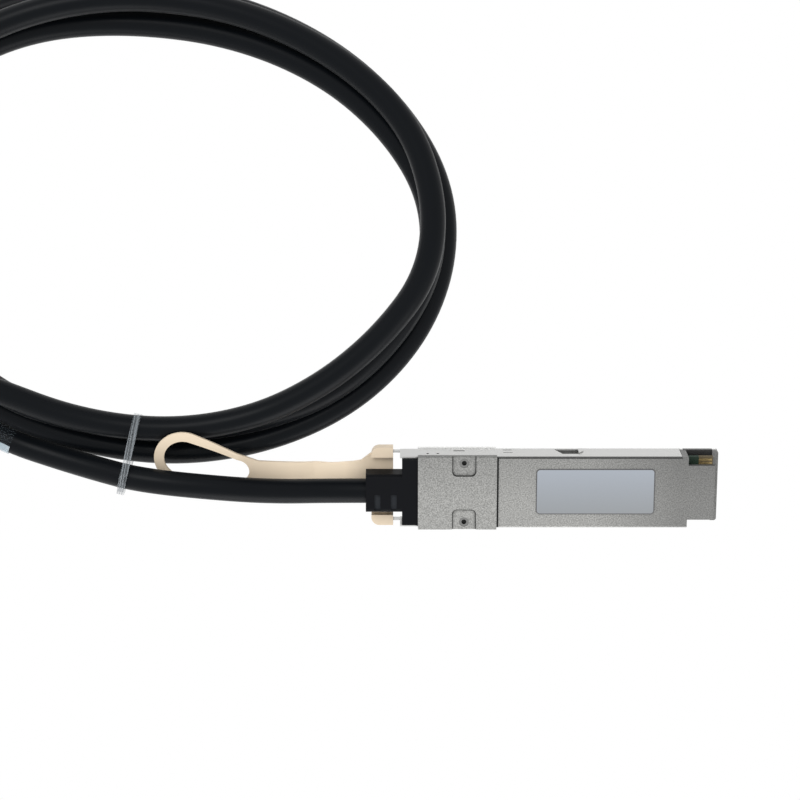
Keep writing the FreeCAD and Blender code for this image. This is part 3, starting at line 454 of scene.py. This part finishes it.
class Finish:
    """A material round one Principled shader."""

    def __init__(self, name, gloss=0.5):
        self.material = bpy.data.materials.new(name)
        self.material.use_nodes = True
        self.tree = self.material.node_tree
        self.shader = self.tree.nodes["Principled BSDF"]
        self.shader.inputs["Specular IOR Level"].default_value = gloss

    def feed(self, socket, value):
        if isinstance(value, Value):
            self.tree.links.new(value.socket, socket)
        else:
            socket.default_value = value

    def node(self, kind, settings, sockets, output=0):
        item = self.tree.nodes.new(kind)
        for name, value in settings.items():
            setattr(item, name, value)
        for name, value in sockets.items():
            self.feed(item.inputs[name], value)
        return Value(self, item.outputs[output])

    def place(self):
        """The place on the object, in metres."""
        return self.node("ShaderNodeTexCoord", {}, {}, "Object")

    def part(self, vector, axis):
        """One part of a vector."""
        return self.node("ShaderNodeSeparateXYZ", {}, {0: vector}, axis)

    def along(self, axis):
        """The place along an axis, in millimetres."""
        return self.part(self.place(), axis) * (1 / MM)

    def facing(self, axis):
        """1 where a face looks squarely along an axis, to either side, else 0."""
        normal = self.node("ShaderNodeNewGeometry", {}, {}, "True Normal")
        return abs(self.part(normal, axis)).over(FACING_SQUARE)

    def noise(self, scale, detail=2.0, roughness=0.5, place=None):
        return self.node("ShaderNodeTexNoise", {}, {"Vector": place or self.place(), "Scale": scale,
                                                    "Detail": detail, "Roughness": roughness})

    def uneven(self, least, swing=0.1, scale=PLAIN_CLOUDS):
        """A roughness that wanders over the surface, upwards from its least."""
        return self.noise(scale) * swing + least

    def spread(self, value, low, high, to_low=0.0, to_high=1.0):
        """A value's stretch from low to high, brought to another stretch and held at its ends."""
        return self.node("ShaderNodeMapRange", {"clamp": True}, {
            "Value": value, "From Min": low, "From Max": high, "To Min": to_low, "To Max": to_high})

    def crevice(self):
        """1 deep in a groove or corner, 0 on an open face."""
        reach = {"Distance": CREVICE_REACH * MM}
        return 1.0 - self.node("ShaderNodeAmbientOcclusion", {"samples": CREVICE_SAMPLES}, reach, "AO")

    def mix(self, share, first, second):
        """One colour over another by a share, on a Mix node's sockets for colours."""
        return self.node("ShaderNodeMix", {"data_type": "RGBA"}, {0: share, 6: first, 7: second}, 2)

    def bump(self, height, strength, depth):
        return self.node("ShaderNodeBump", {}, {
            "Strength": strength, "Distance": depth * MM, "Height": height})

    def moulded_grain(self, strength):
        return self.bump(self.noise(MOULD_GRAIN, detail=3.0), strength, GRAIN_DEPTH)

    def set(self, **sockets):
        for name, value in sockets.items():
            self.feed(self.shader.inputs[name.replace("_", " ").title()], value)
        return self.material


def colour(red, green, blue):
    return (red, green, blue, 1.0)


def grey(level):
    return colour(level, level, level)


def apart(first, second):
    """The length of a way, from its parts along two axes."""
    return (first * first + second * second).root()


def cast_metal():
    """Satin zinc casting with a fine grain, with painted shade towards its nose, to the coil's side, on its
    inner walls, nose rails, seams and crevices, and painted light on its low side ledge.
    """
    finish = Finish("cast_zinc")
    x, y, z = (finish.along(axis) for axis in "XYZ")
    aside = abs(y)
    wide_plug = x.over(PLUG_REAR)
    painted_light_and_shade = [
        # painted shade, darker towards the nose
        (finish.spread(x, *NOSE_PAINTED_SHADE) * 0.52, grey(0.10)),
        # painted shade, darker towards the coil's side
        (finish.spread(y, *SIDE_SHADE) * wide_plug * 0.26, grey(0.08)),
        # painted light on the low ledge beside the arm, which lies in shade
        (aside.over(LEDGE_SIDE) * z.under(LEDGE_TOP) * wide_plug, colour(0.90, 0.90, 0.89)),
    ]
    # painted shadows in the seams above the arm, on the coil's side only
    for side, start, stop, dark in SEAM_SHADOWS:
        painted_light_and_shade.append((y.over(side) * x.inside(start, stop) * z.over(SEAM_SHADOW_HEIGHT) * dark, grey(0.03)))
    painted_light_and_shade += [
        # painted shade on the inner walls and recess floors
        (finish.facing("Y") * aside.under(INNER_WALL_SIDE) * 0.85, grey(0.02)),
        # painted shade on the rails inside the nose
        (x.inside(*RAIL_X) * z.inside(*RAIL_Z) * 0.85, grey(0.02)),
        # painted shade in the crevices of the upper casting
        (finish.spread(finish.crevice(), 0.04, 0.36) * z.over(GROOVE_HEIGHT), grey(0.02)),
    ]
    grain = finish.spread(finish.noise(CAST_GRAIN, roughness=0.7), 0.34, 0.66)
    base = finish.mix(grain, colour(0.22, 0.22, 0.212), colour(0.47, 0.47, 0.455))
    for share, tone in painted_light_and_shade:
        base = finish.mix(share, base, tone)
    return finish.set(base_color=base, metallic=0.75, roughness=finish.uneven(0.42, 0.12, CAST_CLOUDS),
                      normal=finish.bump(grain, 0.25, GRAIN_DEPTH))


def sheet_metal():
    """Plated sheet with faint marks along its length, with painted shade in its pierced holes and crevices.
    """
    finish = Finish("sheet_steel")
    run = finish.node("ShaderNodeMapping", {}, {"Vector": finish.place(), "Scale": SHEET_MARKS})
    marks = finish.noise(scale=1.0, detail=3.0, place=run)
    base = finish.mix(marks, colour(0.52, 0.52, 0.51), colour(0.66, 0.66, 0.65))
    # painted shade in holes and crevices
    crevice_shade = finish.spread(finish.crevice(), 0.35, 0.65)
    base = finish.mix(crevice_shade * 0.95, base, grey(0.015))
    return finish.set(base_color=base, metallic=0.85, roughness=marks * 0.12 + 0.30)


def screw_metal():
    """Dull screw heads with painted shade filling the drive recess."""
    finish = Finish("screw_dark")
    x = finish.along("X") - SCREW_PLACE[0]
    y = abs(finish.along("Y")) - SCREW_PLACE[1]
    # painted shade inside the drive recess
    base = finish.mix(apart(x, y).under(DRIVE_RADIUS), colour(0.20, 0.20, 0.195), grey(0.004))
    return finish.set(base_color=base, metallic=0.6, roughness=0.4)


def card_laminate():
    """Dark green card, bronze under its rows of contacts."""
    finish = Finish("card_green")
    contacts = finish.along("X").over(CONTACT_START)
    base = finish.mix(contacts, colour(0.008, 0.026, 0.014), colour(0.10, 0.075, 0.036))
    return finish.set(base_color=base, roughness=0.5)


def label_film(label):
    """Blank silvery film with painted light, lighter at one side, and a painted shadow along its cut edge,
    with round corners.
    """
    finish = Finish("label_film")
    low, high = (Vector(label.bound_box[corner]) / MM for corner in (BOX_LOW_CORNER, BOX_HIGH_CORNER))
    x, y = finish.along("X"), finish.along("Y")
    # painted light, lighter towards the coil's side
    base = finish.mix(finish.spread(y, low.y, high.y), colour(0.26, 0.275, 0.29), colour(0.33, 0.36, 0.405))
    past = []
    for place, start, stop in ((x, low.x, high.x), (y, low.y, high.y)):
        aside = abs(place - (start + stop) / 2)
        past.append((aside - ((stop - start) / 2 - LABEL_ROUND)).at_least(0.0))
    # painted shadow along the cut edge
    edge = apart(*past).over(LABEL_ROUND - LABEL_EDGE_SHADOW)
    base = finish.mix(edge, base, colour(0.12, 0.12, 0.125))
    return finish.set(base_color=base, metallic=0.2, roughness=finish.uneven(0.30, scale=LABEL_CLOUDS))


def boot_plastic():
    """Black moulding with painted light on the floors of its slots."""
    finish = Finish("boot_black", gloss=0.05)
    # painted light on the slot floors
    slot_floor_light = finish.along("Z").inside(*BOOT_SLOT_FLOOR) * finish.facing("Z")
    base = finish.mix(slot_floor_light, colour(0.0060, 0.0064, 0.0078), colour(0.03, 0.033, 0.038))
    return finish.set(base_color=base, roughness=finish.uneven(0.43), normal=finish.moulded_grain(0.15))


def tab_plastic():
    """Beige moulding with painted light along the flat strap, where it lies in shade under the jacket."""
    finish = Finish("tab_beige", gloss=0.3)
    x = finish.along("X")
    # painted light along the strap, which lies in shade under the jacket
    strap = finish.spread(x, *STRAP_LIGHT_FROM) * finish.spread(x, *STRAP_LIGHT_TO, 1.0, 0.0)
    base = finish.mix(strap, colour(0.74, 0.618, 0.468), colour(1.0, 0.84, 0.64))
    return finish.set(base_color=base, roughness=finish.uneven(0.40))


def plain_metal(name, base):
    """Plated metal in one colour."""
    finish = Finish(name)
    return finish.set(base_color=colour(*base), metallic=0.9, roughness=finish.uneven(0.30))


def wire_plastic():
    """Pale sleeve of the wires inside the wide plug."""
    finish = Finish("wire_sleeve")
    return finish.set(base_color=colour(0.50, 0.47, 0.43), roughness=finish.uneven(0.40))


def cord_rubber(name):
    """Black satin cover of the jacket and the legs."""
    finish = Finish(name, gloss=0.09)
    return finish.set(base_color=colour(0.0018, 0.0028, 0.0042), sheen_weight=0.05,
                      roughness=finish.uneven(0.31), normal=finish.moulded_grain(0.08))


def tie_plastic():
    """Clear strap with ribs across its run along Y, and cloudy in streaks along it."""
    finish = Finish("clear_tie")
    y = finish.along("Y")
    ribs = (y * (2 * math.pi / TIE_RIB)).sine()
    across = finish.along("X") - y * TIE_SLANT
    streak = finish.node("ShaderNodeTexNoise", {"noise_dimensions": "1D"},
                         {"W": across, "Scale": TIE_STREAKS * MM})
    return finish.set(base_color=colour(0.29, 0.32, 0.345), coat_weight=0.4,
                      roughness=finish.uneven(0.20, scale=CLEAR_CLOUDS),
                      alpha=finish.spread(streak, 0.38, 0.62, *TIE_ALPHA),
                      normal=finish.bump(ribs, 0.6, RIB_DEPTH))


def marker_film(line):
    """Clear sleeve made pale as painted light along the side of a cord that looks away from the coil; the
    side in the coil's shade stays clear.
    """
    finish = Finish("clear_sleeve")
    run = line[-1] - line[0]
    aside = Vector((-run.y, run.x, 0.0)).normalized()
    middle = aside.dot(line[len(line) // 2]) / MM
    past = finish.along("X") * aside.x + finish.along("Y") * aside.y - middle
    # painted light: pale on the lit side, clear on the shaded side
    alpha = past.over(MARKER_LIT_SIDE) * (LIT_SIDE_ALPHA - SLEEVE_ALPHA) + SLEEVE_ALPHA
    return finish.set(base_color=colour(0.55, 0.66, 0.73), coat_weight=0.4,
                      roughness=finish.uneven(0.20, scale=CLEAR_CLOUDS), alpha=alpha)


finishes = {
    "cast_zinc": cast_metal(),
    "sheet_steel": sheet_metal(),
    "steel": plain_metal("steel", (0.42, 0.42, 0.41)),
    "screw_dark": screw_metal(),
    "contact_gold": plain_metal("contact_gold", (0.52, 0.39, 0.18)),
    "card_green": card_laminate(),
    "wire_sleeve": wire_plastic(),
    "boot_black": boot_plastic(),
    "label_film": label_film(nodes["blank_label"]),
    "tab_beige": tab_plastic(),
    "jacket_black": cord_rubber("jacket_black"),
    "leg_black": cord_rubber("leg_black"),
    "clear_tie": tie_plastic(),
}

# Jacket and its marker
jacket = smooth_cord("jacket", LEAD_ROUTE + jacket_turns() + TAIL_ROUTE, JACKET_DIAMETER, "jacket_black",
                     "cable_lead", "cable_coil", "cable_tail")
marked = stretch(line_points(jacket), MARKER_START, MARKER_LENGTH)
finishes["clear_sleeve"] = marker_film(marked)
marker = sleeve("marker_sleeve", marked, MARKER_RADIUS, MARKER_WALL, "clear_sleeve", "cable_marker")

# Legs
for leg, route in enumerate(LEG_ROUTES):
    number = leg + 1
    turns = leg_turns(leg)
    start = (turns[0][0], SPLIT_BOOT_END, turns[0][2])
    cord = smooth_cord(f"leg_cord_{number}", [start] + turns + route, LEG_DIAMETER, "leg_black",
                       f"leg_{number}", "leg_coil")
    on_cord = [nodes["leg_tie"]] if leg == 0 else []
    on_cord += [nodes[f"sfp_{number}_{word}"] for word in SMALL_PLUG]

# Return springs
for side in ("left", "right"):
    node = nodes[f"return_spring_{side}"]
    spring = skin_piece(f"spring_coil_{side}", merged_skin(node), node, "steel", "root")
    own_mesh(spring)

# Release arms and pull tab
for side in ("left", "right"):
    node = nodes[f"release_arm_{side}"]
    skin_piece(f"arm_stamping_{side}", taller_window(node), node, "sheet_steel", "release")
skin_piece("tab_moulding", trimmed_tab(nodes["pull_tab"]), nodes["pull_tab"], "tab_beige", "release")

# Finishes of the CAD nodes
for item in frame["record"]["subparts"]:
    node = nodes[item["node"]]
    if not node.material_slots:
        node.data.materials.append(None)
    for slot in node.material_slots:
        slot.material = finishes[item["material_slot"]]

# Floor: white to the camera and in reflections, pale for the light that it gives back
bpy.ops.mesh.primitive_plane_add(size=FLOOR_SIZE_M, location=(0, 0, 0))
floor = bpy.context.object
floor.name = "floor"
paper = Finish("floor_paper")
paper.set(base_color=grey(0.80), roughness=0.9)
camera_ray, glossy_ray, clear_ray = (paper.node("ShaderNodeLightPath", {}, {}, f"Is {kind} Ray")
                                     for kind in ("Camera", "Glossy", "Transmission"))
glow = paper.node("ShaderNodeEmission", {}, {"Color": grey(1.0), "Strength": 1.0})
blend = paper.node("ShaderNodeMixShader", {}, {
    0: camera_ray + glossy_ray + clear_ray, 1: Value(paper, paper.shader.outputs[0]), 2: glow})
paper.feed(paper.tree.nodes["Material Output"].inputs["Surface"], blend)
floor.data.materials.append(paper.material)

# Light: a soft studio room and broad lamps
world = bpy.data.worlds.new("studio")
bpy.context.scene.world = world
world.use_nodes = True
room = world.node_tree.nodes["Background"]
room.inputs["Color"].default_value = grey(1.0)
room.inputs["Strength"].default_value = ROOM_STRENGTH
for name, place, aim, size, power in LAMPS:
    light = bpy.data.lights.new(name, "AREA")
    light.shape = "DISK"
    light.size = size
    light.energy = power
    lamp = bpy.data.objects.new(name, light)
    lamp.location = place
    lamp.rotation_euler = (Vector(aim) - Vector(place)).to_track_quat("-Z", "Y").to_euler()
    bpy.context.scene.collection.objects.link(lamp)

# Camera
camera_data = bpy.data.cameras.new("camera")
camera_data.sensor_width = SENSOR_WIDTH
camera_data.lens = SENSOR_WIDTH * CAMERA_DISTANCE_M / (PIXELS / PIXELS_PER_MM * MM)
camera = bpy.data.objects.new("camera", camera_data)
tilt = math.radians(CAMERA_TILT)
camera.location = Vector(CAMERA_AIM) * MM + CAMERA_DISTANCE_M * Vector((0, math.sin(tilt), math.cos(tilt)))
camera.rotation_euler = (-tilt, 0, 0)
bpy.context.scene.collection.objects.link(camera)
bpy.context.scene.camera = camera
bpy.context.scene.view_settings.view_transform = "Standard"
